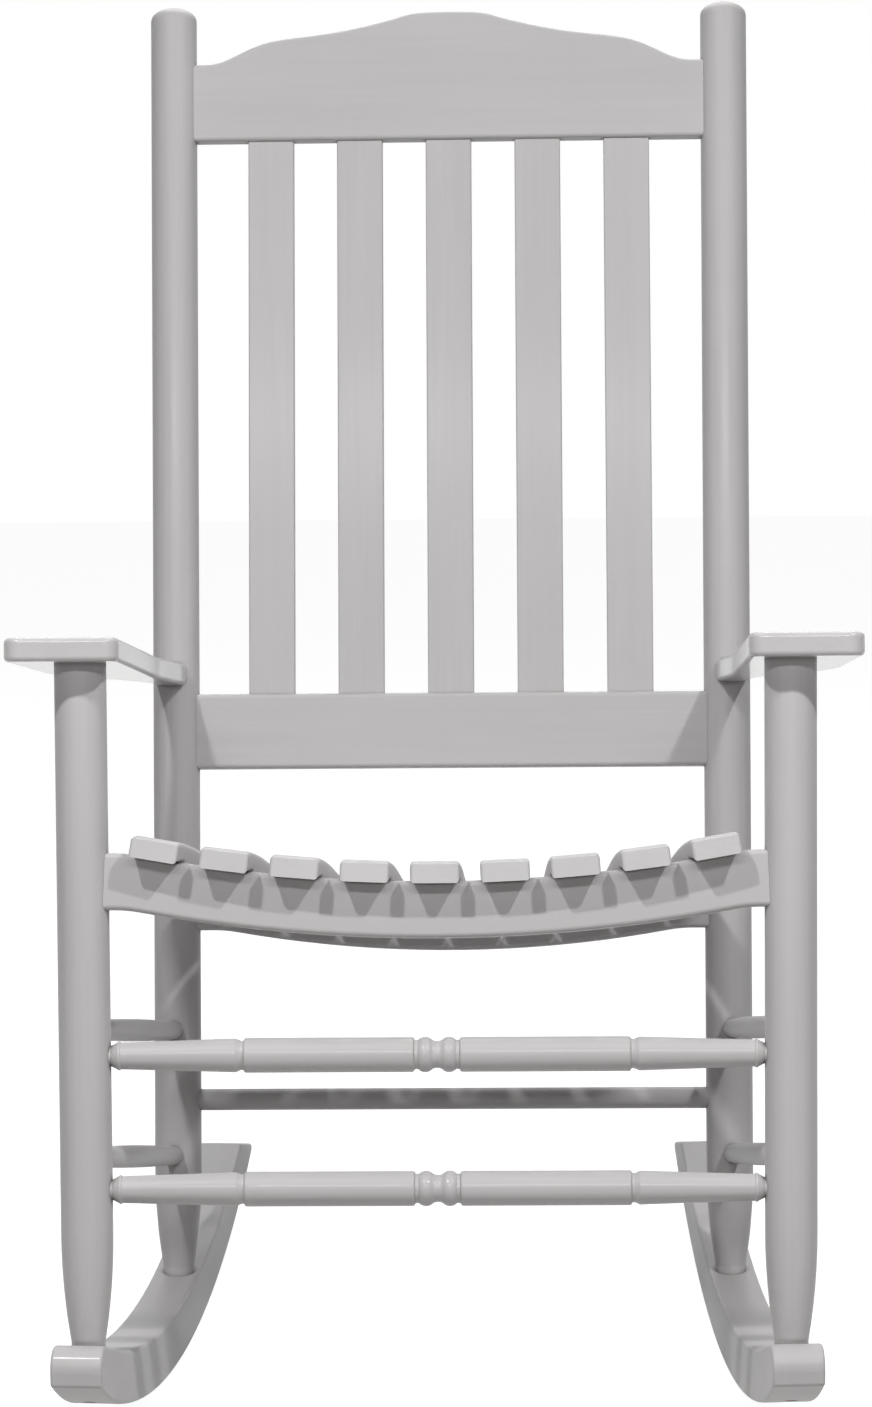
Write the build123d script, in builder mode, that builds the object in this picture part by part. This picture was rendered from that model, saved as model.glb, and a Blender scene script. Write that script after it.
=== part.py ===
"""Slatted porch rocking chair of painted hardwood, in the pieces it is put together from.

X is to the sitter's left and right, -Y is the front, +Z is up. The origin is on the floor, under
the middle of the chair's reach. Posts lean back on the rockers, and every rail, rod, arm and slat
takes its place from points on the axes of the posts.
"""
from build123d import *
from math import asin, atan, cos, degrees, radians, sin, sqrt, tan
import os

# Fits
wood_fit = 0.2              # play round a tenon in its mortise
mortise_relief = 1.5        # glue space past the end of a tenon
cope_gap = 0.1              # between a coped shoulder and the round post
screw_play = 0.1            # round a screw in its pilot hole

# Rockers
rocker_radius = 1074.0      # underside, behind the lowest point
rocker_front_radius = 1150.0    # and ahead of it
upper_front_radius = 1200.0     # upper edge, ahead of the lowest point
rocker_depth = 45.5         # from underside to upper edge at the lowest point
rocker_width = 41.0
rocker_toe_in = 4.0         # degrees, noses further apart than tails
rocker_shift = 1.5          # of the rocker's middle outwards from the rear foot
rocker_middle = 361.6       # from the front foot back to the lowest point of the arc
nose_reach = 69.0           # from the front foot forward
nose_low_height = 92.5      # of the lower corner of the nose
nose_curl = 21.0            # behind the front foot, where the underside starts to curl up to the nose
nose_slope = 19.0           # degrees, of the upper face down to the rear past the front foot
nose_round = 17.0
nose_toe = 3.5              # rounding under the nose
tail_round = 3.5
tail_heel = 8.0             # rounding of the upper corner
tail_height = 99.0          # of the tail's upper corner
tail_tip_height = 75.5      # of its lower corner, at the end of the cut
tail_tip = 7.0              # upright face at the very end
rocker_edge = 2.5           # rounding of the long edges
nose_end = 14.0             # of the sloping upper face, behind the front foot
saddle_end = 75.0           # where the upper arc takes over from it
foot_pocket = 2.5           # depth that the front foot's shoulder is let in at its middle

# Posts
post_diameter = 41.5
foot_diameter = 27.0
foot_taper = 94.0
foot_tenon_diameter = 17.0
foot_tenon = 20.0
front_foot_height = 101.0   # of the shoulder in its pocket in the rocker
front_foot_offset = 278.26  # from the middle plane
front_lean = 8.64           # degrees
front_splay = 0.36          # degrees
foot_spacing = 424.4        # front foot to rear foot, front to back
rear_foot_offset = 245.0
rear_lean = 12.7
rear_splay = 0.22
rear_post_height = 1160.0
crown_height = 12.0         # rounded top of a rear post
arm_tenon_diameter = 24.0
arm_tenon = 12.0

# Armrests
arm_height = 667.3          # upper face at the front edge
arm_slope = 10.3            # degrees, down to the rear
arm_thickness = 19.0
arm_front_edge = 41.6       # behind the front foot
arm_inner = 247.5           # inner side from the middle plane
arm_outer = 338.5
arm_outer_draw = 5.0        # outer side comes in by this before it sweeps
arm_sweep_start = 215.0     # along the arm, outer side
arm_sweep_end = 485.0
arm_tail_start = 340.0      # along the arm, inner side
arm_tail_inner = 236.0
arm_tail_inset = 3.0        # outer side of the tail, inside the rear post's outer side
arm_corner = 12.0
arm_edge = 4.0

# Back
board_thickness = 20.0      # crest rail and lower back rail
board_edge = 4.0
crest_bottom = 1039.0       # height at the post axis
crest_end = 70.6            # depth of the crest rail at its ends
crest_middle = 117.0        # and in its middle
crest_level = 0.89          # of the half length, where the level end starts
crest_cove = (0.79, 0.13)   # points of the curve, as shares of the half length and of the rise
crest_shoulder = (0.69, 0.375)
crest_knee = (0.543, 0.525)
crest_hollow = (0.38, 0.645)
crest_dome = (0.176, 0.905)
lower_rail_bottom = 484.0
lower_rail_depth = 67.0
back_slats = 5
back_slat_width = 41.2
back_slat_thickness = 12.0
back_slat_pitch = 80.3
back_slat_housing = 12.0    # how far a slat goes into a rail
board_tenon = 17.0
board_tenon_thickness = 10.0
board_tenon_margin = 12.0

# Seat
rail_thickness = 22.0
rail_depth = 45.0
rail_tenon = 17.0
rail_tenon_thickness = 11.0
rail_tenon_height = 26.0
seat_front_height = 468.1   # top of the front rail in its middle
seat_rear_height = 368.7
front_dish = 1290.0         # radius of the dished edges
front_level = 14.0          # level ends of the front rail, past the post
dish_blend = 110.0          # radius that joins a dish to its level ends
rear_dish = 1100.0
rear_dish_half = 203.0      # the rear rail runs level beyond this
seat_slats = 9
slat_width = 39.0
slat_thickness = 15.0
front_slat_pitch = 55.0
rear_slat_pitch = 47.0
slat_nose = 33.0            # ahead of the front rail's middle
slat_tail = 14.0            # behind the rear rail's middle
slat_hollow = 9.0           # dip of the contoured seat
slat_hollow_at = 0.58       # of the way from rail to rail
slat_nose_drop = 3.0        # of the nose below the straight of the slat
slat_nose_round = 11.0
slat_edge = 3.0
rail_edge = 4.0
slat_seating = 0.2          # paint thickness between a slat and its rails

# Stretchers
upper_front_height = 332.6
lower_front_height = 227.8
upper_side_front = 353.3
upper_side_rear = 256.0
lower_side_front = 253.2
lower_side_rear = 147.6
rear_stretcher_height = 196.0
front_stretcher_diameter = 27.6
front_stretcher_end = 21.3
front_tenon_diameter = 16.0
side_stretcher_diameter = 19.0
side_stretcher_end = 15.8
side_tenon_diameter = 14.0
rear_stretcher_diameter = 19.0
rod_depth = 21.0            # how far a rod goes into a post
side_shoulder = 1.5         # of a side stretcher, clear of the post

# Turning of the front stretchers, measured from the middle outwards
cove_radius = 10.7
cove_half = 3.8
bead_foot = 11.6
bead_centre = 9.3
bead_radius = 14.0
bead_end = 15.2
groove_radius = 11.5
barrel_start = 18.0
barrel_end = 153.4
barrel_ease = 2.0
outer_groove = 155.4
taper_start = 157.6
taper_radius = 13.4
ring_width = 3.0
ring_height = 0.8
nib_length = 5.0

# Screws
rocker_screw_diameter = 5.0
rocker_screw_head = 10.0
rocker_screw_recess = 3.0
rocker_screw_bite = 42.0    # into the foot above the tenon's end
arm_screw_diameter = 5.0
arm_screw_head = 10.0
arm_screw_length = 75.0
slat_screw_diameter = 4.0
slat_screw_head = 8.0
slat_screw_length = 36.0

post_radius = post_diameter / 2
toe = radians(rocker_toe_in)


def arc_height(radius, lowest, along):
    """Height of a rocker's arc above the floor, by its distance behind the front foot."""
    return lowest + radius - sqrt(radius**2 - (along - rocker_middle) ** 2)


upper_radius = rocker_radius - rocker_depth
nose_along = -nose_reach / cos(toe)
tail_along = rocker_middle + sqrt(rocker_radius**2 - (rocker_radius - tail_tip_height) ** 2)
half_width = rocker_width / 2


def plan_reach(along):
    """Furthest a rounded rocker end reaches, measured straight back from the front foot."""
    straight = (abs(along) - rocker_edge) * cos(toe) + (half_width - rocker_edge) * sin(toe)
    return straight + rocker_edge


front_foot_back = (plan_reach(nose_along) - plan_reach(tail_along)) / 2


def front_axis(side, height):
    """Point on the axis of a front post."""
    rise = height - front_foot_height
    across = front_foot_offset + rise * tan(radians(front_splay))
    return Vector(side * across, front_foot_back + rise * tan(radians(front_lean)), height)


rear_along = foot_spacing / cos(toe)
rear_surface = arc_height(upper_radius, rocker_depth, rear_along)
rear_surface_slope = degrees(asin((rear_along - rocker_middle) / upper_radius))
rear_sink = foot_diameter / 2 * tan(radians(rear_surface_slope + rear_lean))
rear_foot_height = rear_surface - rear_sink


def rear_axis(side, height):
    """Point on the axis of a rear post."""
    rise = height - rear_foot_height
    across = rear_foot_offset + rise * tan(radians(rear_splay))
    back = front_foot_back + foot_spacing + rise * tan(radians(rear_lean))
    return Vector(side * across, back, height)


def rod(start, end, radius, play=0.0, relief=0.0):
    """Plain round bar between two points: a tenon, or with play the hole that takes it."""
    along = (end - start).normalized()
    with BuildPart() as piece:
        with BuildSketch(Plane(origin=start - along * relief, z_dir=along)):
            Circle(radius + play)
        extrude(amount=(end - start).length + 2 * relief)
    return piece.part


def tongue(plane, centre, length, height, thickness, play=0.0, relief=0.0):
    """Flat tenon lying in a plane, or with play the mortise that takes it."""
    with BuildPart() as piece:
        with BuildSketch(plane):
            with Locations(centre):
                Rectangle(length + 2 * relief, height + 2 * play)
        extrude(amount=thickness / 2 + play, both=True)
    return piece.part


def lathe(start, end):
    """Plane of a turned piece's half profile: x runs along it, y runs outwards."""
    along = (end - start).normalized()
    outwards = Plane(origin=start, z_dir=along).x_dir
    return Plane(origin=start, x_dir=along, z_dir=along.cross(outwards))


def screw(seat, direction, length, diameter, head):
    """Screw whose flat countersunk head lies at seat."""
    head_depth = (head - diameter) / 2
    with BuildPart() as piece:
        with BuildSketch(lathe(seat, seat + direction)):
            with BuildLine():
                Polyline(
                    (0, 0),
                    (0, head / 2),
                    (head_depth, diameter / 2),
                    (length - diameter, diameter / 2),
                    (length, 0),
                    close=True,
                )
            make_face()
        revolve(axis=Axis(seat, direction))
    return piece.part


def screw_hole(seat, direction, length, diameter, head, recess):
    """Countersunk hole for a screw, open behind its head by the recess."""
    head_depth = (head - diameter) / 2
    wide = head / 2 + screw_play
    narrow = diameter / 2 + screw_play
    with BuildPart() as piece:
        with BuildSketch(lathe(seat, seat + direction)):
            with BuildLine():
                Polyline(
                    (-recess, 0),
                    (-recess, wide),
                    (screw_play, wide),
                    (head_depth + screw_play, narrow),
                    (length + screw_play, narrow),
                    (length + screw_play, 0),
                    close=True,
                )
            make_face()
        revolve(axis=Axis(seat, direction))
    return piece.part


# Lines and planes that the pieces are placed by

rocker_offset = rear_foot_offset + rocker_shift + foot_spacing * tan(toe)
sides = {"left": -1, "right": 1}


def rocker_plane(side):
    """Upright plane along the middle of a rocker: x runs back from the front foot, y runs up."""
    back = Vector(-side * sin(toe), cos(toe), 0)
    foot = Vector(side * rocker_offset, front_foot_back, 0)
    return Plane(origin=foot, x_dir=back, z_dir=back.cross(Vector(0, 0, 1)))


def front_up(side):
    return (front_axis(side, arm_height) - front_axis(side, 0)).normalized()


def rear_up(side):
    return (rear_axis(side, arm_height) - rear_axis(side, 0)).normalized()


lean_back = radians(rear_lean)
back_plane = Plane(
    origin=(0, rear_axis(1, lower_rail_bottom).Y, lower_rail_bottom),
    x_dir=(1, 0, 0),
    z_dir=(0, -cos(lean_back), sin(lean_back)),
)
crest_start = (crest_bottom - lower_rail_bottom) / cos(lean_back)

seat_front = Vector(0, front_axis(1, seat_front_height).Y, seat_front_height)
seat_rear = Vector(0, rear_axis(1, seat_rear_height).Y, seat_rear_height)
seat_run = (seat_rear - seat_front).normalized()
seat_up = Vector(1, 0, 0).cross(seat_run)
front_rail_plane = Plane(origin=seat_front, x_dir=(1, 0, 0), z_dir=seat_run * -1)
rear_rail_plane = Plane(origin=seat_rear, x_dir=(1, 0, 0), z_dir=seat_run * -1)

slope = radians(arm_slope)
arm_plane = Plane(
    origin=(0, front_foot_back + arm_front_edge, arm_height),
    x_dir=(1, 0, 0),
    z_dir=(0, sin(slope), cos(slope)),
)
arm_underside = arm_plane.offset(-arm_thickness)


def meet(point, direction, plane):
    """Where a line meets a plane."""
    away = (plane.origin - point).dot(plane.z_dir)
    return point + direction * (away / direction.dot(plane.z_dir))


def below_rocker(side, foot, up):
    """Where a post's axis comes out of the underside of its rocker."""
    plane = rocker_plane(side)
    start = plane.to_local_coords(foot)
    end = plane.to_local_coords(foot - up)
    radius = rocker_front_radius if start.X < rocker_middle else rocker_radius
    along = start.X - rocker_middle
    height = start.Y - radius
    step_along = end.X - start.X
    step_height = end.Y - start.Y
    a = step_along**2 + step_height**2
    b = along * step_along + height * step_height
    c = along**2 + height**2 - radius**2
    return foot - up * ((-b + sqrt(b**2 - a * c)) / a)


front_dish_half = front_axis(1, seat_front_height).X - post_radius - front_level


def front_dish_rise(across):
    return front_dish - sqrt(front_dish**2 - min(abs(across), front_dish_half) ** 2)


def rear_dish_rise(across):
    return rear_dish - sqrt(rear_dish**2 - min(abs(across), rear_dish_half) ** 2)


# Joints: each shape is a tenon, or with play and relief the mortise for it


def foot_tongue(foot, up, play=0.0, relief=0.0):
    return rod(foot - up * (foot_tenon + relief), foot, foot_tenon_diameter / 2 + play)


def arm_tongue(side, play=0.0, relief=0.0):
    up = front_up(side)
    top = meet(front_axis(side, arm_height), up, arm_underside)
    return rod(top, top + up * (arm_tenon + relief), arm_tenon_diameter / 2 + play)


def board_tongue(side, low, depth, play=0.0, relief=0.0):
    """Tenon at one end of the crest rail or the lower back rail."""
    height = back_plane.from_local_coords(Vector(0, low + depth / 2, 0)).Z
    shoulder = rear_axis(1, height).X - post_radius
    middle = (side * shoulder, low + depth / 2)
    tall = depth - 2 * board_tenon_margin
    return tongue(back_plane, middle, 2 * (board_tenon + relief), tall, board_tenon_thickness, play)


def rail_tongue(side, plane, shoulder, rise, play=0.0, relief=0.0):
    """Tenon at one end of a seat rail."""
    middle = (side * shoulder, rise - rail_depth / 2)
    return tongue(plane, middle, 2 * (rail_tenon + relief), rail_tenon_height, rail_tenon_thickness, play)


front_shoulder = front_axis(1, seat_front_height).X - post_radius
rear_shoulder = rear_axis(1, seat_rear_height).X - post_radius


def front_rail_tongue(side, play=0.0, relief=0.0):
    rise = front_dish_rise(front_shoulder)
    return rail_tongue(side, front_rail_plane, front_shoulder, rise, play, relief)


def rear_rail_tongue(side, play=0.0, relief=0.0):
    rise = rear_dish_rise(rear_shoulder)
    return rail_tongue(side, rear_rail_plane, rear_shoulder, rise, play, relief)


def rod_mortise(start, end, radius):
    """Hole in the post at start for a rod that runs to end."""
    along = (end - start).normalized()
    bottom = start + along * (post_radius - rod_depth - mortise_relief)
    return rod(bottom, start + along * 2 * post_radius, radius + wood_fit)


def side_rods(side):
    """Ends of the upper and lower side stretchers on the post axes."""
    return [
        (front_axis(side, upper_side_front), rear_axis(side, upper_side_rear)),
        (front_axis(side, lower_side_front), rear_axis(side, lower_side_rear)),
    ]


def post_body(foot, up, side):
    """The whole round of a post and more, to cope or clear what meets it."""
    return rod(foot, foot + up * 1.3 * rear_post_height, post_radius + cope_gap)


def front_foot(side):
    return front_axis(side, front_foot_height)


def rear_foot(side):
    return rear_axis(side, rear_foot_height)


def rocker_screw_line(side, foot, up):
    """Head of the screw under a rocker, and its length up into the foot."""
    seat = below_rocker(side, foot, up) + up * rocker_screw_recess
    return seat, (foot - seat).length + rocker_screw_bite - foot_tenon


def foot_screw(side, foot, up):
    seat, length = rocker_screw_line(side, foot, up)
    return screw(seat, up, length, rocker_screw_diameter, rocker_screw_head)


def foot_screw_hole(side, foot, up):
    seat, length = rocker_screw_line(side, foot, up)
    recess = 3 * rocker_screw_recess
    return screw_hole(seat, up, length, rocker_screw_diameter, rocker_screw_head, recess)


arm_run = Vector(0, cos(slope), -sin(slope))


def arm_screw_seat(side):
    """Head of the screw behind a rear post, on the middle of the arm's end."""
    middle = arm_plane.offset(-arm_thickness / 2)
    axis_point = meet(rear_axis(side, arm_height), rear_up(side), middle)
    return axis_point + arm_run * (post_radius - arm_screw_head / 4)


def arm_screw_hole(side):
    seat = arm_screw_seat(side)
    return screw_hole(seat, arm_run * -1, arm_screw_length, arm_screw_diameter, arm_screw_head, post_radius)


# Posts


def foot_outline():
    """Tenon, shoulder, short straight and bowed taper at the foot of a post."""
    foot = foot_diameter / 2
    tenon = foot_tenon_diameter / 2
    straight = 2 * rear_sink
    fullness = post_radius - foot
    bow = ((foot_taper - straight) ** 2 + fullness**2) / (2 * fullness)
    Polyline((0, 0), (-foot_tenon, 0), (-foot_tenon, tenon), (0, tenon), (0, foot), (straight, foot))
    RadiusArc((straight, foot), (foot_taper, post_radius), bow)


def front_post(name, side):
    foot = front_foot(side)
    up = front_up(side)
    length = (meet(foot, up, arm_underside) - foot).length
    tenon = arm_tenon_diameter / 2
    cuts = [rod_mortise(first, last, side_tenon_diameter / 2) for first, last in side_rods(side)]
    for height in (upper_front_height, lower_front_height):
        start = front_axis(side, height)
        cuts.append(rod_mortise(start, front_axis(-side, height), front_tenon_diameter / 2))
    cuts.append(front_rail_tongue(side, wood_fit, mortise_relief))
    cuts.append(foot_screw_hole(side, foot, up))
    with BuildPart() as post:
        with BuildSketch(lathe(foot, foot + up)):
            with BuildLine():
                foot_outline()
                Line((foot_taper, post_radius), (length + post_radius, post_radius))
                Line((length + post_radius, post_radius), (length + post_radius, 0))
                Line((length + post_radius, 0), (0, 0))
            make_face()
        revolve(axis=Axis(foot, up))
        split(bisect_by=arm_underside, keep=Keep.BOTTOM)
        add(arm_tongue(side))
        for cut in cuts:
            add(cut, mode=Mode.SUBTRACT)
    post.part.label = name
    return post.part


def rear_post(name, side):
    foot = rear_foot(side)
    up = rear_up(side)
    length = (rear_axis(side, rear_post_height) - foot).length
    crown = length - crown_height
    cuts = [rod_mortise(last, first, side_tenon_diameter / 2) for first, last in side_rods(side)]
    start = rear_axis(side, rear_stretcher_height)
    cuts.append(rod_mortise(start, rear_axis(-side, rear_stretcher_height), rear_stretcher_diameter / 2))
    cuts.append(board_tongue(side, 0, lower_rail_depth, wood_fit, mortise_relief))
    cuts.append(board_tongue(side, crest_start, crest_end, wood_fit, mortise_relief))
    cuts.append(rear_rail_tongue(side, wood_fit, mortise_relief))
    cuts.append(foot_screw_hole(side, foot, up))
    cuts.append(arm_screw_hole(side))
    with BuildPart() as post:
        with BuildSketch(lathe(foot, foot + up)):
            with BuildLine():
                foot_outline()
                Line((foot_taper, post_radius), (crown, post_radius))
                EllipticalCenterArc((crown, 0), crown_height, post_radius, arc_size=90)
                Line((length, 0), (0, 0))
            make_face()
        revolve(axis=Axis(foot, up))
        for cut in cuts:
            add(cut, mode=Mode.SUBTRACT)
    post.part.label = name
    return post.part


# Rockers


def rocker_arc(radius, lowest, start, end):
    """Part of a rocker's edge, between two distances behind the front foot."""
    stops = (start, (start + end) / 2, end)
    ThreePointArc(*[(along, arc_height(radius, lowest, along)) for along in stops])


def rocker(name, side):
    plane = rocker_plane(side)
    nose_fall = tan(radians(nose_slope))
    seat = front_foot_height + foot_pocket
    nose_low = (nose_along, nose_low_height)
    nose_high = (nose_along, seat - nose_along * nose_fall)
    nose_back = (nose_end, seat - nose_end * nose_fall)
    curl = (nose_curl, arc_height(rocker_front_radius, 0, nose_curl))
    curl_rise = (rocker_middle - nose_curl) / (rocker_front_radius - curl[1])
    rejoin = (saddle_end, arc_height(upper_front_radius, rocker_depth, saddle_end))
    rejoin_rise = (rocker_middle - saddle_end) / (upper_front_radius + rocker_depth - rejoin[1])
    upper_tail = rocker_middle + sqrt(upper_radius**2 - (rocker_radius - tail_height) ** 2)
    front_end = front_foot(side)
    rear_end = rear_foot(side)
    cuts = []
    for foot, up in ((front_end, front_up(side)), (rear_end, rear_up(side))):
        cuts.append(rod(foot, foot + up * foot_taper, foot_diameter / 2 + wood_fit))
        cuts.append(foot_tongue(foot, up, wood_fit, mortise_relief))
        cuts.append(foot_screw_hole(side, foot, up))
    tip_low = (tail_along, tail_tip_height)
    tip_high = (tail_along, tail_tip_height + tail_tip)
    heel = (upper_tail, tail_height)
    corners = [
        (nose_high, nose_round),
        (nose_low, nose_toe),
        (tip_low, tail_round),
        (tip_high, tail_round),
        (heel, tail_heel),
    ]
    with BuildPart() as runner:
        with BuildSketch(plane) as outline:
            with BuildLine():
                TangentArc(curl, nose_low, tangent=(-1, curl_rise))
                rocker_arc(rocker_front_radius, 0, nose_curl, rocker_middle)
                rocker_arc(rocker_radius, 0, rocker_middle, tail_along)
                Line(tip_low, tip_high)
                Line(tip_high, heel)
                rocker_arc(upper_radius, rocker_depth, rocker_middle, upper_tail)
                rocker_arc(upper_front_radius, rocker_depth, saddle_end, rocker_middle)
                Spline(rejoin, nose_back, tangents=[(-1, rejoin_rise), (-1, nose_fall)])
                Line(nose_back, nose_high)
                Line(nose_high, nose_low)
            make_face()
            for corner, radius in corners:
                fillet(outline.vertices().sort_by_distance(corner)[0], radius)
        extrude(amount=rocker_width / 2, both=True)
        flanks = runner.faces().sort_by(Axis(plane.origin, plane.z_dir))
        fillet(flanks[0].edges() + flanks[-1].edges(), rocker_edge)
        for cut in cuts:
            add(cut, mode=Mode.SUBTRACT)
    runner.part.label = name
    return runner.part


# Armrests


def armrest(name, side):
    post_at = meet(rear_axis(side, arm_height), rear_up(side), arm_plane)
    post_local = arm_plane.to_local_coords(post_at)
    tail_outer = abs(post_local.X) + post_radius - arm_tail_inset
    tail_end = post_local.Y
    drawn = arm_outer - arm_outer_draw
    with BuildPart() as arm:
        with BuildSketch(arm_plane):
            with BuildLine():
                Line((side * arm_inner, 0), (side * arm_outer, 0))
                Line((side * arm_outer, 0), (side * drawn, arm_sweep_start))
                Spline(
                    (side * drawn, arm_sweep_start),
                    (side * tail_outer, arm_sweep_end),
                    tangents=[(-side * arm_outer_draw, arm_sweep_start), (0, 1)],
                )
                Line((side * tail_outer, arm_sweep_end), (side * tail_outer, tail_end))
                Line((side * tail_outer, tail_end), (side * arm_tail_inner, tail_end))
                Spline(
                    (side * arm_tail_inner, tail_end),
                    (side * arm_inner, arm_tail_start),
                    tangents=[(0, -1), (0, -1)],
                )
                Line((side * arm_inner, arm_tail_start), (side * arm_inner, 0))
            face = make_face()
            fillet(face.vertices().group_by(Axis((0, 0, 0), arm_plane.y_dir))[0], arm_corner)
        extrude(amount=-arm_thickness)
        faces = arm.faces().sort_by(Axis(arm_plane.origin, arm_plane.z_dir))
        for face in (faces[0], faces[-1]):
            edges = face.edges().sort_by(Axis(arm_plane.origin, arm_plane.y_dir))
            fillet(edges[:-1], arm_edge)
        add(post_body(rear_foot(side), rear_up(side), side), mode=Mode.SUBTRACT)
        add(arm_tongue(side, wood_fit, mortise_relief), mode=Mode.SUBTRACT)
        add(arm_screw_hole(side), mode=Mode.SUBTRACT)
    arm.part.label = name
    return arm.part


# Back


def slat_column(number):
    return (number - (back_slats + 1) / 2) * back_slat_pitch


def back_slat_bar(number, play=0.0, relief=0.0):
    low = lower_rail_depth - back_slat_housing
    high = crest_start + back_slat_housing
    middle = (slat_column(number), (low + high) / 2)
    return tongue_upright(middle, high - low + 2 * relief, play)


def tongue_upright(middle, length, play):
    return tongue(back_plane, middle, back_slat_width, length, back_slat_thickness, play)


def back_slat(name, number):
    with BuildPart() as slat:
        add(back_slat_bar(number))
        upright = slat.edges().filter_by(Axis((0, 0, 0), back_plane.y_dir))
        fillet(upright, back_slat_thickness / 8)
    slat.part.label = name
    return slat.part


def crest_rail(name):
    reach = rear_axis(1, crest_bottom).X
    base = crest_start + crest_end
    rise = crest_middle - crest_end
    level_end = (crest_level * reach, base)
    curve = [level_end]
    for share, lift in (crest_cove, crest_shoulder, crest_knee, crest_hollow, crest_dome):
        curve.append((share * reach, base + lift * rise))
    top = (0, crest_start + crest_middle)
    with BuildPart() as crest:
        with BuildSketch(back_plane):
            with BuildLine():
                Line((0, crest_start), (reach, crest_start))
                Line((reach, crest_start), (reach, base))
                Line((reach, base), level_end)
                Spline(*curve, top, tangents=[(-1, 0), (-1, 0)])
                Line(top, (0, crest_start))
            make_face()
            mirror(about=Plane.YZ)
        extrude(amount=board_thickness / 2, both=True)
        faces = crest.faces().sort_by(Axis(back_plane.origin, back_plane.z_dir))
        fillet(faces[0].edges() + faces[-1].edges(), board_edge)
        for side in sides.values():
            add(post_body(rear_foot(side), rear_up(side), side), mode=Mode.SUBTRACT)
        for side in sides.values():
            add(board_tongue(side, crest_start, crest_end))
        for number in range(1, back_slats + 1):
            add(back_slat_bar(number, wood_fit, mortise_relief), mode=Mode.SUBTRACT)
    crest.part.label = name
    return crest.part


def lower_back_rail(name):
    reach = rear_axis(1, lower_rail_bottom).X
    with BuildPart() as rail:
        with BuildSketch(back_plane):
            with Locations((0, lower_rail_depth / 2)):
                Rectangle(2 * reach, lower_rail_depth)
        extrude(amount=board_thickness / 2, both=True)
        fillet(rail.edges().filter_by(Axis.X), board_edge)
        for side in sides.values():
            add(post_body(rear_foot(side), rear_up(side), side), mode=Mode.SUBTRACT)
        for side in sides.values():
            add(board_tongue(side, 0, lower_rail_depth))
        for number in range(1, back_slats + 1):
            add(back_slat_bar(number, wood_fit, mortise_relief), mode=Mode.SUBTRACT)
    rail.part.label = name
    return rail.part


# Seat


def slat_bed(number):
    """Plane of a seat slat's side, with its origin on the front rail, and its run to the rear rail."""
    column = number - (seat_slats + 1) / 2
    front = column * front_slat_pitch
    rear = column * rear_slat_pitch
    front_point = front_rail_plane.from_local_coords(Vector(front, front_dish_rise(front), 0))
    rear_point = rear_rail_plane.from_local_coords(Vector(rear, rear_dish_rise(rear), 0))
    tilt = asin(front / front_dish)
    across = Vector(cos(tilt), 0, 0) + seat_up * sin(tilt)
    along = (rear_point - front_point).normalized()
    up = across.cross(along).normalized()
    lift = up * (slat_seating + slat_width**2 / (8 * min(front_dish, rear_dish)))
    plane = Plane(origin=front_point + lift, x_dir=along, z_dir=along.cross(up))
    return plane, (rear_point - front_point).length


def slat_curve(run, height):
    """Long edge of a seat slat, straight over the rails and hollow between them."""
    bearing = rail_thickness / 2 + slat_thickness / 3
    steepness = 2 * slat_nose_drop / (slat_nose - bearing)
    front = (-slat_nose, height - slat_nose_drop)
    Spline(front, (-bearing, height), tangents=[(1, steepness), (1, 0)])
    Line((-bearing, height), (bearing, height))
    Spline(
        (bearing, height),
        (run * slat_hollow_at, height - slat_hollow),
        (run - bearing, height),
        tangents=[(1, 0), (1, 0)],
    )
    Line((run - bearing, height), (run + slat_tail, height))


def slat_screw_seats(number):
    plane, run = slat_bed(number)
    heads = [plane.from_local_coords(Vector(along, slat_thickness, 0)) for along in (0, run)]
    return heads, plane.y_dir * -1


def slat_screw_holes(number):
    heads, down = slat_screw_seats(number)
    return [screw_hole(seat, down, slat_screw_length, slat_screw_diameter, slat_screw_head, 1) for seat in heads]


def seat_slat(name, number):
    plane, run = slat_bed(number)
    with BuildPart() as slat:
        with BuildSketch(plane):
            with BuildLine():
                slat_curve(run, 0)
                slat_curve(run, slat_thickness)
                Line((-slat_nose, -slat_nose_drop), (-slat_nose, slat_thickness - slat_nose_drop))
                Line((run + slat_tail, 0), (run + slat_tail, slat_thickness))
            face = make_face()
            corners = face.vertices().sort_by(Axis(plane.origin, plane.x_dir))
            nose = corners[:2].sort_by(Axis(plane.origin, plane.y_dir))
            fillet(nose[-1], slat_nose_round)
            fillet(nose[0], slat_edge)
        extrude(amount=slat_width / 2, both=True)
        flanks = slat.faces().sort_by(Axis(plane.origin, plane.z_dir))
        fillet(flanks[0].edges() + flanks[-1].edges(), slat_edge)
        for hole in slat_screw_holes(number):
            add(hole, mode=Mode.SUBTRACT)
    slat.part.label = name
    return slat.part


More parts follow.
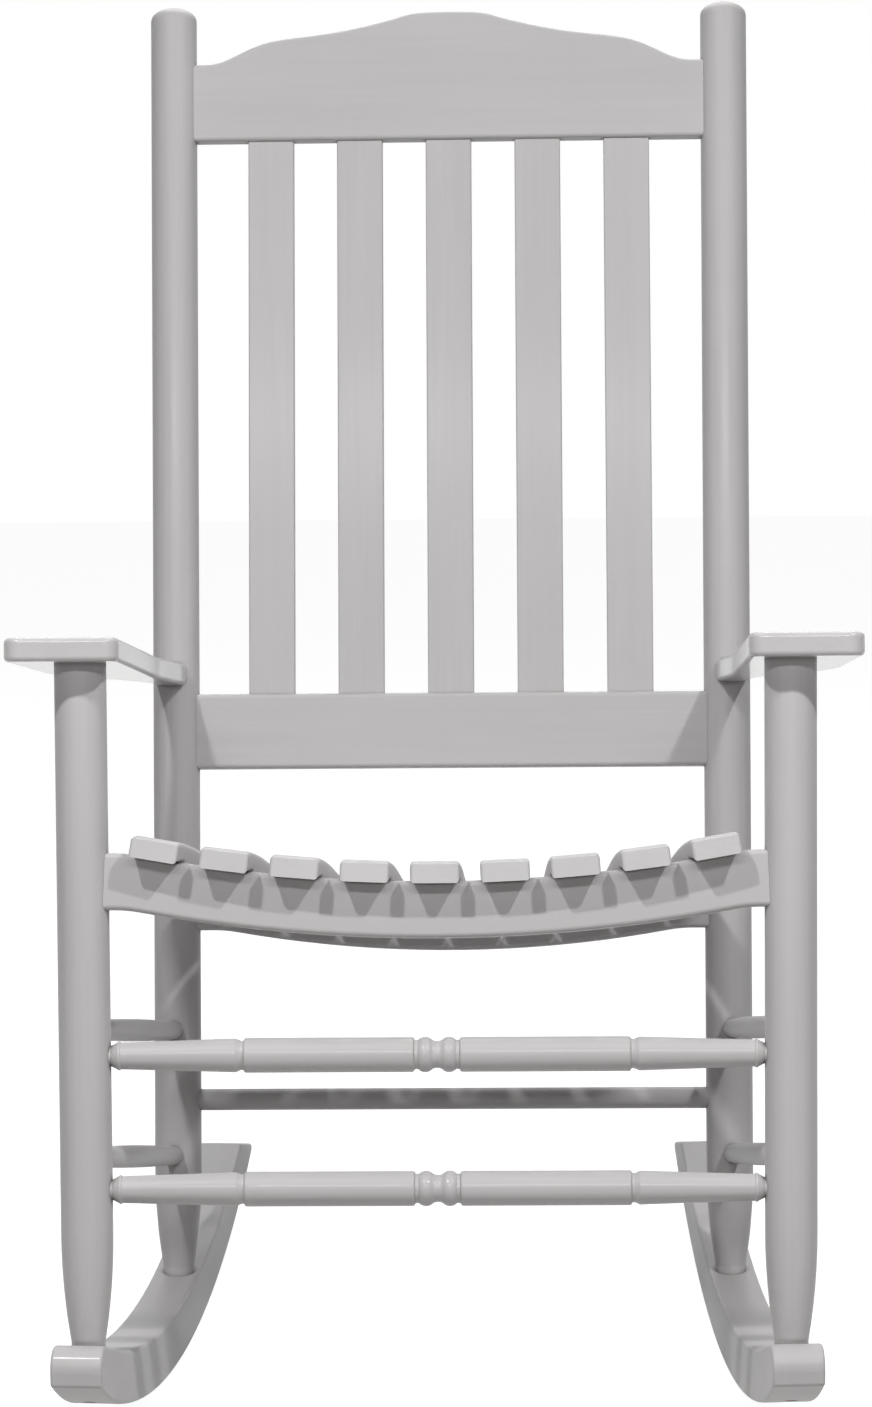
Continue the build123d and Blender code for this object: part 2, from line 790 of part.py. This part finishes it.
def seat_rail(name, plane, reach, rise, half, cope, tongues, holes):
    """Dished rail; half is how far the dish runs from the middle, rise its height there."""
    bends = [(end * half, level) for end in (-1, 1) for level in (rise, rise - rail_depth)]
    with BuildPart() as rail:
        with BuildSketch(plane) as outline:
            with BuildLine():
                ThreePointArc((-half, rise), (0, 0), (half, rise))
                ThreePointArc((-half, rise - rail_depth), (0, -rail_depth), (half, rise - rail_depth))
                for end in (-1, 1):
                    Polyline((end * half, rise), (end * reach, rise))
                    Line((end * reach, rise), (end * reach, rise - rail_depth))
                    Line((end * reach, rise - rail_depth), (end * half, rise - rail_depth))
            make_face()
            for bend in bends:
                fillet(outline.vertices().sort_by_distance(bend)[0], dish_blend)
        extrude(amount=rail_thickness / 2, both=True)
        faces = rail.faces().sort_by(Axis(plane.origin, plane.z_dir))
        fillet(faces[0].edges() + faces[-1].edges(), rail_edge)
        for cut in cope:
            add(cut, mode=Mode.SUBTRACT)
        for tenon in tongues:
            add(tenon)
        for hole in holes:
            add(hole, mode=Mode.SUBTRACT)
    rail.part.label = name
    return rail.part


def seat_front_rail(name):
    reach = front_axis(1, seat_front_height).X
    half = front_dish_half
    cope = [post_body(front_foot(side), front_up(side), side) for side in sides.values()]
    tongues = [front_rail_tongue(side) for side in sides.values()]
    holes = [slat_screw_holes(number)[0] for number in range(1, seat_slats + 1)]
    return seat_rail(name, front_rail_plane, reach, front_dish_rise(half), half, cope, tongues, holes)


def seat_rear_rail(name):
    reach = rear_axis(1, seat_rear_height).X
    half = rear_dish_half
    cope = [post_body(rear_foot(side), rear_up(side), side) for side in sides.values()]
    tongues = [rear_rail_tongue(side) for side in sides.values()]
    holes = [slat_screw_holes(number)[1] for number in range(1, seat_slats + 1)]
    return seat_rail(name, rear_rail_plane, reach, rear_dish_rise(half), half, cope, tongues, holes)


# Stretchers


def front_stretcher(name, height):
    """Turned rod: a cove between two beads, two straight barrels, two tapered ends."""
    axis_point = front_axis(1, height)
    centre = Vector(0, axis_point.Y, height)
    reach = axis_point.X
    barrel = front_stretcher_diameter / 2
    tenon = front_tenon_diameter / 2
    taper_end = front_stretcher_end / 2
    shoulder = reach - post_radius
    tenon_end = shoulder + rod_depth
    with BuildPart() as stretcher:
        with BuildSketch(Plane(origin=centre, x_dir=(1, 0, 0), z_dir=(0, -1, 0))):
            with BuildLine():
                Line((0, 0), (0, cove_radius))
                ThreePointArc((0, cove_radius), (cove_half * 0.6, cove_radius + 0.25), (cove_half, bead_foot))
                ThreePointArc((cove_half, bead_foot), (bead_centre, bead_radius), (bead_end, groove_radius))
                Line((bead_end, groove_radius), (barrel_start, barrel - barrel_ease))
                RadiusArc((barrel_start, barrel - barrel_ease), (barrel_start + barrel_ease, barrel), barrel_ease)
                Line((barrel_start + barrel_ease, barrel), (barrel_end - barrel_ease, barrel))
                RadiusArc((barrel_end - barrel_ease, barrel), (barrel_end, barrel - barrel_ease), barrel_ease)
                Line((barrel_end, barrel - barrel_ease), (outer_groove, groove_radius))
                Line((outer_groove, groove_radius), (taper_start, taper_radius - barrel_ease / 2))
                Line((taper_start, taper_radius - barrel_ease / 2), (taper_start + barrel_ease, taper_radius))
                Line((taper_start + barrel_ease, taper_radius), (shoulder - nib_length - ring_width, taper_end))
                ThreePointArc(
                    (shoulder - nib_length - ring_width, taper_end),
                    (shoulder - nib_length - ring_width / 2, taper_end + ring_height),
                    (shoulder - nib_length, taper_end),
                )
                Line((shoulder - nib_length, taper_end), (shoulder, tenon))
                Line((shoulder, tenon), (tenon_end, tenon))
                Line((tenon_end, tenon), (tenon_end, 0))
                Line((tenon_end, 0), (0, 0))
            make_face()
        revolve(axis=Axis(centre, (1, 0, 0)))
        mirror(about=Plane.YZ)
    stretcher.part.label = name
    return stretcher.part


def side_stretcher(name, start, end):
    """Swelled rod between a front post and a rear post, with a tenon at each end."""
    along = (end - start).normalized()
    length = (end - start).length
    tenon = side_tenon_diameter / 2
    thin = side_stretcher_end / 2
    thick = side_stretcher_diameter / 2
    tip = post_radius - rod_depth
    shoulder = post_radius + side_shoulder
    with BuildPart() as stretcher:
        with BuildSketch(lathe(start, end)):
            with BuildLine():
                Polyline((tip, 0), (tip, tenon), (shoulder, tenon), (shoulder, thin))
                ThreePointArc((shoulder, thin), (length / 2, thick), (length - shoulder, thin))
                Polyline((length - shoulder, thin), (length - shoulder, tenon), (length - tip, tenon), (length - tip, 0))
                Line((length - tip, 0), (tip, 0))
            make_face()
        revolve(axis=Axis(start, along))
    stretcher.part.label = name
    return stretcher.part


def rear_stretcher(name):
    left = rear_axis(-1, rear_stretcher_height)
    right = rear_axis(1, rear_stretcher_height)
    inset = post_radius - rod_depth
    along = (right - left).normalized()
    with BuildPart() as stretcher:
        add(rod(left + along * inset, right - along * inset, rear_stretcher_diameter / 2))
    stretcher.part.label = name
    return stretcher.part


# Screws


def rocker_screws(name):
    with BuildPart() as screws:
        for side in sides.values():
            add(foot_screw(side, front_foot(side), front_up(side)))
            add(foot_screw(side, rear_foot(side), rear_up(side)))
    screws.part.label = name
    return screws.part


def armrest_screws(name):
    with BuildPart() as screws:
        for side in sides.values():
            add(screw(arm_screw_seat(side), arm_run * -1, arm_screw_length, arm_screw_diameter, arm_screw_head))
    screws.part.label = name
    return screws.part


def seat_slat_screws(name):
    with BuildPart() as screws:
        for number in range(1, seat_slats + 1):
            heads, down = slat_screw_seats(number)
            for head in heads:
                add(screw(head, down, slat_screw_length, slat_screw_diameter, slat_screw_head))
    screws.part.label = name
    return screws.part


# The chair, piece by piece

pieces = []
for word, side in sides.items():
    pieces.append(rocker("rocker_" + word, side))
    pieces.append(front_post("front_post_" + word, side))
    pieces.append(rear_post("rear_post_" + word, side))
    pieces.append(armrest("armrest_" + word, side))
    for level, (start, end) in zip(("upper", "lower"), side_rods(side)):
        pieces.append(side_stretcher("side_stretcher_" + level + "_" + word, start, end))
pieces.append(crest_rail("crest_rail"))
pieces.append(lower_back_rail("lower_back_rail"))
for number in range(1, back_slats + 1):
    pieces.append(back_slat("back_slat_" + str(number), number))
pieces.append(seat_front_rail("seat_front_rail"))
pieces.append(seat_rear_rail("seat_rear_rail"))
for number in range(1, seat_slats + 1):
    pieces.append(seat_slat("seat_slat_" + str(number), number))
pieces.append(front_stretcher("front_stretcher_upper", upper_front_height))
pieces.append(front_stretcher("front_stretcher_lower", lower_front_height))
pieces.append(rear_stretcher("rear_stretcher"))
pieces.append(rocker_screws("rocker_screws"))
pieces.append(armrest_screws("armrest_screws"))
pieces.append(seat_slat_screws("seat_slat_screws"))

os.makedirs("parts", exist_ok=True)
for piece in pieces:
    export_step(piece, "parts/" + piece.label + ".step")
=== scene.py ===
"""A painted porch rocking chair, dressed for a plain white studio.

Lengths are in metres. X is across the chair, -Y is its front and Z is up.
"""
from math import cos, radians, sin

import bpy
from mathutils import Matrix, Vector


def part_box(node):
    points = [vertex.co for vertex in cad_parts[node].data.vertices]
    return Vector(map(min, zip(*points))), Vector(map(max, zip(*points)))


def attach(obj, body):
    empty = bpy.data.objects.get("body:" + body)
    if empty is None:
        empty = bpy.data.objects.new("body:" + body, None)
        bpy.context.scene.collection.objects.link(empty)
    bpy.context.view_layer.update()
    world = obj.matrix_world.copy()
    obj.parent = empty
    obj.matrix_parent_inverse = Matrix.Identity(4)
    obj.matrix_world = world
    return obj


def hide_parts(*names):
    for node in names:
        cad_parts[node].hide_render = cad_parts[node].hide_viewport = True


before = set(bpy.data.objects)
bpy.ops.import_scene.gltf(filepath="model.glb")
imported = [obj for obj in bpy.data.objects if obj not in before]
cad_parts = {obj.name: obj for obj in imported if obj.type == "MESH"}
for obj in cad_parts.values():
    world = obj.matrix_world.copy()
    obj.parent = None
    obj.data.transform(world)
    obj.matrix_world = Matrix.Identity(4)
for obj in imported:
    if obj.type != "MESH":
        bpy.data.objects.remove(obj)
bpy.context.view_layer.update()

# ---------------------------------------------------------------------------
# Camera. It stands at eye height in front of the chair, a little to its right,
# and looks slightly down. Its place is measured from the foot of a front post.
# ---------------------------------------------------------------------------

front_foot_y = -0.3422
camera_across = 0.1128
camera_back = 3.3995            # in front of the front feet
camera_height = 1.1146
camera_turn = radians(-1.842)   # to the side
camera_dip = radians(8.299)
camera_tilt = radians(0.678)    # about its own line of sight
frame_height = 1407             # the focal length is in the same units as the picture's height
focal_pixels = 4435.7
film_width = 36.0               # millimetres

ahead = Vector((sin(camera_turn) * cos(camera_dip), cos(camera_turn) * cos(camera_dip), -sin(camera_dip)))
level = Vector((cos(camera_turn), -sin(camera_turn), 0))
above = level.cross(ahead)
right = level * cos(camera_tilt) - above * sin(camera_tilt)
upright = level * sin(camera_tilt) + above * cos(camera_tilt)
camera_data = bpy.data.cameras.new("studio_camera")
camera = bpy.data.objects.new("studio_camera", camera_data)
bpy.context.scene.collection.objects.link(camera)
turned = Matrix((right, upright, -ahead)).transposed().to_4x4()
camera.matrix_world = Matrix.Translation((camera_across, front_foot_y - camera_back, camera_height)) @ turned
camera_data.sensor_fit = "AUTO"
camera_data.sensor_width = film_width
camera_data.lens = focal_pixels / frame_height * film_width
bpy.context.scene.camera = camera
bpy.context.scene.view_settings.view_transform = "Standard"

# ---------------------------------------------------------------------------
# Studio. A pale floor and a white surround. Two small lamps stand high up in
# front, left and right, above a wide strip, and a square lamp hangs behind.
# ---------------------------------------------------------------------------

pure_white = (1.0, 1.0, 1.0, 1.0)
floor_reach = 14.0
floor_colour = (0.42, 0.415, 0.41, 1.0)
floor_glow = 0.95               # only seen straight or in reflections, so that the floor reads as white
surround_light = 0.03           # what the white surround gives to the chair
seat_middle = (0.0, -0.2, 0.45)
front_floor = (0.0, -1.6, 0.0)  # the front lamps are dipped, so that the crest isn't lit too strongly
lamp_left_place = (-0.90, -1.42, 2.62)
lamp_left_power = 32.0
lamp_right_place = (1.25, -1.42, 2.62)
lamp_right_power = 34.0
lamp_size = (0.12, 0.12)
fill_place = (0.0, -2.6, 1.87)  # the wide strip
fill_size = (2.0, 0.18)
fill_power = 22.0
rear_place = (0.0, 1.7, 2.9)    # the square lamp behind
rear_size = (2.0, 2.0)
rear_power = 30.0


def stage_tree(owner):
    """The emptied node tree of a material or of the surround."""
    owner.use_nodes = True
    owner.node_tree.nodes.clear()
    return owner.node_tree


def seen_rays(tree):
    """1 where the camera sees the studio straight, in a reflection or through glass, and else 0."""
    rays = tree.nodes.new("ShaderNodeLightPath")
    seen = rays.outputs["Is Camera Ray"]
    for ray in ("Is Glossy Ray", "Is Transmission Ray"):
        either = tree.nodes.new("ShaderNodeMath")
        either.operation = "MAXIMUM"
        tree.links.new(seen, either.inputs[0])
        tree.links.new(rays.outputs[ray], either.inputs[1])
        seen = either.outputs[0]
    return seen


world = bpy.data.worlds.new("studio_surround")
bpy.context.scene.world = world
tree = stage_tree(world)
seen = seen_rays(tree)
light = tree.nodes.new("ShaderNodeBackground")
light.inputs["Color"].default_value = pure_white
light.inputs["Strength"].default_value = surround_light
white = tree.nodes.new("ShaderNodeBackground")
white.inputs["Color"].default_value = pure_white
white.inputs["Strength"].default_value = 1.0
blend = tree.nodes.new("ShaderNodeMixShader")
out = tree.nodes.new("ShaderNodeOutputWorld")
tree.links.new(seen, blend.inputs[0])
tree.links.new(light.outputs[0], blend.inputs[1])
tree.links.new(white.outputs[0], blend.inputs[2])
tree.links.new(blend.outputs[0], out.inputs["Surface"])

bpy.ops.mesh.primitive_plane_add(size=floor_reach, location=(0, 0, 0))
floor = bpy.context.object
floor.name = "floor"
floor_finish = bpy.data.materials.new("white_floor")
tree = stage_tree(floor_finish)
matt = tree.nodes.new("ShaderNodeBsdfDiffuse")
matt.inputs["Color"].default_value = floor_colour
glow = tree.nodes.new("ShaderNodeEmission")
glow.inputs["Color"].default_value = pure_white
strength = tree.nodes.new("ShaderNodeMath")
strength.operation = "MULTIPLY"
strength.inputs[1].default_value = floor_glow
tree.links.new(seen_rays(tree), strength.inputs[0])
tree.links.new(strength.outputs[0], glow.inputs["Strength"])
both = tree.nodes.new("ShaderNodeAddShader")
out = tree.nodes.new("ShaderNodeOutputMaterial")
tree.links.new(matt.outputs[0], both.inputs[0])
tree.links.new(glow.outputs[0], both.inputs[1])
tree.links.new(both.outputs[0], out.inputs["Surface"])
floor.data.materials.append(floor_finish)


def soft_lamp(name, place, aim, size, power):
    """Hangs a rectangular lamp and points it."""
    lamp_data = bpy.data.lights.new(name, "AREA")
    lamp_data.shape = "RECTANGLE"
    lamp_data.size, lamp_data.size_y = size
    lamp_data.energy = power
    lamp = bpy.data.objects.new(name, lamp_data)
    bpy.context.scene.collection.objects.link(lamp)
    lamp.location = place
    lamp.rotation_euler = (Vector(aim) - Vector(place)).to_track_quat("-Z", "Y").to_euler()


soft_lamp("lamp_left", lamp_left_place, front_floor, lamp_size, lamp_left_power)
soft_lamp("lamp_right", lamp_right_place, front_floor, lamp_size, lamp_right_power)
soft_lamp("front_fill", fill_place, front_floor, fill_size, fill_power)
soft_lamp("rear_ceiling", rear_place, seat_middle, rear_size, rear_power)

# ---------------------------------------------------------------------------
# Rockers. Each is sawn from one thick hardwood plank and rounded along its
# long edges, then sprayed with two coats of satin grey paint like the rest.
# ---------------------------------------------------------------------------


class Wire:
    """A socket of a material's nodes. Sums and products of wires add Math nodes to it."""

    def __init__(self, tree, socket=None):
        self.tree = tree
        self.socket = socket

    def node(self, kind, settings=None, sockets=None, give=0):
        """Adds a node, with its settings first, then its sockets' values or wires. Gives one output."""
        made = self.tree.nodes.new("ShaderNode" + kind)
        for name, value in (settings or {}).items():
            setattr(made, name, value)
        for name, value in (sockets or {}).items():
            if isinstance(value, Wire):
                self.tree.links.new(value.socket, made.inputs[name])
            else:
                made.inputs[name].default_value = value
        return Wire(self.tree, made.outputs[give])

    def maths(self, operation, first, second):
        return self.node("Math", {"operation": operation}, {0: first, 1: second})

    def __add__(self, other):
        return self.maths("ADD", self, other)

    def __radd__(self, other):
        return self.maths("ADD", other, self)

    def __rsub__(self, other):
        return self.maths("SUBTRACT", other, self)

    def __mul__(self, other):
        return self.maths("MULTIPLY", self, other)

    def __rmul__(self, other):
        return self.maths("MULTIPLY", other, self)

    def band(self, low, high):
        """0 below low and 1 above high, with a soft step between them."""
        ends = {"Value": self, "From Min": low, "From Max": high}
        return self.node("MapRange", {"interpolation_type": "SMOOTHSTEP"}, ends)


def linear(red, green, blue):
    """Screen colour, 0 to 255, as the light values that a shader takes."""
    return tuple(((c / 255 + 0.055) / 1.055) ** 2.4 for c in (red, green, blue)) + (1.0,)


end_share = 0.04                # of a piece's length, taken as its end


def along(node):
    """Unit vector of a piece's length, from the middles of its two ends."""
    corners = [v.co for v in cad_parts[node].data.vertices]
    low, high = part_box(node)
    longest = max(range(3), key=lambda axis: (high - low)[axis])
    margin = (high - low)[longest] * end_share
    first = [c for c in corners if c[longest] < low[longest] + margin]
    last = [c for c in corners if c[longest] > high[longest] - margin]
    middle = [sum(ends, Vector()) / len(ends) for ends in (first, last)]
    return (middle[1] - middle[0]).normalized()


paint_grey = linear(202, 200, 200)
paint_shade = linear(195, 193, 193)
# the dark grey of dust specks, and of the painted shade in creases
dust_and_crease_shade_grey = linear(84, 81, 79)
tint_edges = (0.30, 0.70)
tint_shares = (0.45, 0.25, 0.30)        # of the streaks, the clouds and the pores
paint_rough = 0.38
rough_shares = (0.10, 0.05, 0.12)       # of the clouds, the pores and the creases
paint_shine = 0.30                      # specular level of the paint under its clear skin
skin_gloss = 0.14                       # weight of the clear skin that sprayed paint dries with
skin_rough = 0.14
fibre_scale = (7.0, 300.0, 300.0)       # along a board, across it and through it, per metre
layer_scale = (6.0, 45.0, 420.0)        # year rings that lie flat in a board and show on its end
streak_scale = (2.2, 30.0, 30.0)
ring_scale = (420.0, 6.0, 6.0)          # the lathe tool's rings
cloud_scale = 9.0
peel_scale = 520.0                      # the fine dimples of sprayed paint
dust_scale = 95.0
dust_edges = (0.015, 0.06)
patch_scale = 60.0                      # dust lies in some patches only
patch_edges = (0.62, 0.66)
speck_depth = 0.30
crease_shade_reach = 0.009                    # painted shade darkens joints and creases, this far from the corner
crease_shade_edges = (0.30, 0.85)
crease_shade_depth = 0.85
relief_height = 0.00022
relief_strength = 0.35
relief_shares = (0.55, 0.30, 0.8)       # of the pores, the dimples and the dust
ring_relief = 0.5


def painted_wood(name, direction, shift=0.0, grain=fibre_scale, turned=False, gloss=skin_gloss,
                 painted_light_share=0.0, even=False):
    """Satin grey paint on hardwood. The grain and the lathe's rings show through it faintly.

    The gloss fades where the surface turns away, unless it is even. Creases and joints get painted shade,
    and the colour can be lifted towards white as painted light.
    """
    finish = bpy.data.materials.new(name)
    tree = stage_tree(finish)
    start = Wire(tree)
    place = start.node("TexCoord", give="Object")
    lie = Vector((1, 0, 0)).rotation_difference(direction).inverted().to_euler()
    board = start.node("Mapping", None, {"Vector": place, "Rotation": tuple(lie)})
    fibre = start.node("Mapping", None, {"Vector": board, "Scale": grain})
    streak = start.node("Mapping", None, {"Vector": board, "Scale": streak_scale})
    pores = start.node("TexNoise", None, {"Vector": fibre, "Scale": 1.0, "Detail": 3.0, "Roughness": 0.6})
    mottle = start.node("TexNoise", None, {"Vector": streak, "Scale": 1.0, "Detail": 4.0, "Roughness": 0.55})
    cloud = start.node("TexNoise", None, {"Vector": place, "Scale": cloud_scale, "Detail": 2.0})
    peel = start.node("TexNoise", None, {"Vector": place, "Scale": peel_scale, "Detail": 2.0})
    dust = start.node("TexVoronoi", None, {"Vector": place, "Scale": dust_scale, "Randomness": 1.0})
    patch = start.node("TexNoise", None, {"Vector": place, "Scale": patch_scale, "Detail": 0.0})
    speck = (1 - dust.band(*dust_edges)) * patch.band(*patch_edges)
    # ambient occlusion finds the creases, which get painted shade
    open_air = start.node("AmbientOcclusion", {"samples": 8}, {"Distance": crease_shade_reach}, "AO")
    crease_shade = 1 - open_air.band(*crease_shade_edges)

    tint = mottle * tint_shares[0] + cloud * tint_shares[1] + pores * tint_shares[2] + shift
    body = {"Fac": tint.band(*tint_edges), "Color1": paint_shade, "Color2": paint_grey}
    colour = start.node("MixRGB", None, body)
    dusty = {"Fac": speck * speck_depth, "Color1": colour, "Color2": dust_and_crease_shade_grey}
    colour = start.node("MixRGB", None, dusty)
    # painted light: the paint is lifted towards white by this share
    if painted_light_share:
        colour = start.node("MixRGB", None, {"Fac": painted_light_share, "Color1": colour, "Color2": pure_white})
    # painted shade: creases and joints are darkened towards the dark grey
    crease_shade_mix = {"Fac": crease_shade * crease_shade_depth, "Color1": colour, "Color2": dust_and_crease_shade_grey}
    colour = start.node("MixRGB", None, crease_shade_mix)

    if not even:
        gloss = gloss * (1 - start.node("LayerWeight", None, {"Blend": 0.5}, "Facing"))
    rough = paint_rough + rough_shares[0] * cloud + rough_shares[1] * pores + rough_shares[2] * crease_shade
    relief = pores * relief_shares[0] + peel * relief_shares[1] + speck * relief_shares[2]
    if turned:
        rings = start.node("Mapping", None, {"Vector": board, "Scale": ring_scale})
        turning = start.node("TexNoise", None, {"Vector": rings, "Scale": 1.0, "Detail": 2.0})
        relief = relief + turning * ring_relief
    uneven = {"Height": relief, "Strength": relief_strength, "Distance": relief_height}
    surface = {
        "Base Color": colour,
        "Roughness": rough,
        "Normal": start.node("Bump", None, uneven),
        "Specular IOR Level": paint_shine,
        "Coat Weight": gloss,
        "Coat Roughness": skin_rough,
    }
    shader = start.node("BsdfPrincipled", None, surface)
    out = tree.nodes.new("ShaderNodeOutputMaterial")
    tree.links.new(shader.socket, out.inputs["Surface"])
    return finish


def dress(node, finish):
    """Gives a piece its finish."""
    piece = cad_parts[node]
    piece.data.materials.clear()
    piece.data.materials.append(finish)


sides = ("left", "right")
for side in sides:
    dress("rocker_" + side, painted_wood("rocker_paint_" + side, along("rocker_" + side)))

# ---------------------------------------------------------------------------
# Posts. Four hardwood rounds turned on a lathe, tapered to the foot. The rear
# pair is tall and carries the back, and ends in low rounded tops.
# ---------------------------------------------------------------------------

for side in sides:
    for post in ("front_post_", "rear_post_"):
        dress(post + side, painted_wood(post + "paint_" + side, along(post + side), turned=True))

# ---------------------------------------------------------------------------
# Stretchers. Turned rods that tie the posts together, glued into blind holes.
# The two in front are the show pieces, with beads, coves and tapered ends.
# ---------------------------------------------------------------------------

show_gloss = 0.40
for row in ("upper", "lower"):
    node = "front_stretcher_" + row
    dress(node, painted_wood(node + "_paint", along(node), turned=True, gloss=show_gloss))
    for side in sides:
        node = "side_stretcher_" + row + "_" + side
        dress(node, painted_wood(node + "_paint", along(node), turned=True))
dress("rear_stretcher", painted_wood("rear_stretcher_paint", along("rear_stretcher"), turned=True))

# ---------------------------------------------------------------------------
# Seat. Two dished rails carry nine contoured slats, each sawn and sanded to a
# rounded nose and fixed with a screw at each rail.
# ---------------------------------------------------------------------------

rail_shade_shift = -0.20              # painted shade: the rails are tinted towards the darker of the two greys
seat_gloss = 0.45               # polished by use
seat_painted_light = 0.15               # painted light: paler paint, for the lamp light that the slats' noses catch
seat_shifts = (0.05, -0.06, 0.02, 0.08, -0.03, 0.0, -0.07, 0.04, -0.02)

for node in ("seat_front_rail", "seat_rear_rail"):
    dress(node, painted_wood(node + "_paint", along(node), rail_shade_shift))
for number, shift in enumerate(seat_shifts, 1):
    node = "seat_slat_" + str(number)
    seat_polish_and_painted_light = {"gloss": seat_gloss, "painted_light_share": seat_painted_light}
    dress(node, painted_wood(node + "_paint", along(node), shift, layer_scale, **seat_polish_and_painted_light))

# ---------------------------------------------------------------------------
# Back. Five flat slats stand in grooves of a lower rail and of the crest rail,
# whose top edge is sawn to a low dome between two hollow shoulders.
# ---------------------------------------------------------------------------

across = Vector((1, 0, 0))
rail_gloss = {"lower_back_rail": skin_gloss, "crest_rail": 0.20}
back_shifts = (0.04, -0.03, 0.0, -0.05, 0.03)

for node, gloss in rail_gloss.items():
    dress(node, painted_wood(node + "_paint", across, gloss=gloss))
for number, shift in enumerate(back_shifts, 1):
    node = "back_slat_" + str(number)
    dress(node, painted_wood(node + "_paint", along(node), shift))

# ---------------------------------------------------------------------------
# Armrests. Flat boards with rounded front corners that narrow to the rear and
# are hollowed round the rear posts. Hands have polished their paint.
# ---------------------------------------------------------------------------

arm_gloss = 0.90
for side in sides:
    node = "armrest_" + side
    dress(node, painted_wood(node + "_paint", along(node), grain=layer_scale, gloss=arm_gloss, even=True))

# ---------------------------------------------------------------------------
# Screws. Zinc-plated countersunk wood screws, driven from below the rockers,
# from behind the rear posts and through the seat slats, with square recesses.
# ---------------------------------------------------------------------------

drive_depth = 0.0022
drive_width = {"rocker_screws": 0.0042, "armrest_screws": 0.0042, "seat_slat_screws": 0.0033}
drive_tip = 0.70                # the cutter's ends, as shares of the width
drive_mouth = 1.30
rim_share = 0.998               # of the screw's length from its tip, where its head's rim lies
weld_reach = 1e-6
zinc_dark = linear(120, 117, 110)
zinc_light = linear(158, 155, 149)
bloom_scale = 700.0
scuff_scale = 2600.0
scuff_height = 0.0001

zinc = bpy.data.materials.new("zinc_plate")
tree = stage_tree(zinc)
start = Wire(tree)
place = start.node("TexCoord", give="Object")
bloom = start.node("TexNoise", None, {"Vector": place, "Scale": bloom_scale, "Detail": 3.0})
plate = start.node("MixRGB", None, {"Fac": bloom, "Color1": zinc_dark, "Color2": zinc_light})
scuff = start.node("TexNoise", None, {"Vector": place, "Scale": scuff_scale, "Detail": 2.0})
dent = start.node("Bump", None, {"Height": scuff, "Strength": 0.3, "Distance": scuff_height})
steel = {"Base Color": plate, "Metallic": 1.0, "Roughness": 0.30 + 0.25 * bloom, "Normal": dent}
shader = start.node("BsdfPrincipled", None, steel)
out = tree.nodes.new("ShaderNodeOutputMaterial")
tree.links.new(shader.socket, out.inputs["Surface"])


def pick_only(piece):
    """Selects one object, so that the next operator acts on it alone."""
    bpy.ops.object.select_all(action="DESELECT")
    piece.select_set(True)
    bpy.context.view_layer.objects.active = piece


def head_and_tip(screw):
    """Middle of a screw's flat head, and its tip."""
    points = [v.co for v in screw.data.vertices]
    middle = sum(points, Vector()) / len(points)
    tip = max(points, key=lambda point: (point - middle).length)
    reach = max((point - tip).length for point in points)
    rim = [point for point in points if (point - tip).length > reach * rim_share]
    return sum(rim, Vector()) / len(rim), tip


def sink_drive(screw, width):
    """Cuts the tapered square recess for the driver into a screw's head."""
    head, tip = head_and_tip(screw)
    corner = width / 2 ** 0.5       # from the square's middle
    ends = {"radius1": corner * drive_tip, "radius2": corner * drive_mouth}
    bpy.ops.mesh.primitive_cone_add(vertices=4, depth=2 * drive_depth, location=head, **ends)
    driver = bpy.context.object
    driver.rotation_euler = (tip - head).to_track_quat("-Z", "Y").to_euler()
    pick_only(screw)
    cut = screw.modifiers.new("drive", "BOOLEAN")
    cut.operation = "DIFFERENCE"
    cut.solver = "EXACT"
    cut.object = driver
    bpy.ops.object.modifier_apply(modifier=cut.name)
    bpy.data.objects.remove(driver)


for node, width in drive_width.items():
    screws = bpy.data.objects.new(node + "_square_drive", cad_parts[node].data.copy())
    bpy.context.scene.collection.objects.link(screws)
    pick_only(screws)
    bpy.ops.object.mode_set(mode="EDIT")
    bpy.ops.mesh.select_all(action="SELECT")
    bpy.ops.mesh.remove_doubles(threshold=weld_reach)
    bpy.ops.mesh.separate(type="LOOSE")
    bpy.ops.object.mode_set(mode="OBJECT")
    singles = list(bpy.context.selected_objects)
    for screw in singles:
        sink_drive(screw, width)
    pick_only(screws)
    for screw in singles:
        screw.select_set(True)
    bpy.ops.object.join()
    screws.data.materials.clear()
    screws.data.materials.append(zinc)
    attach(screws, "root")
    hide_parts(node)
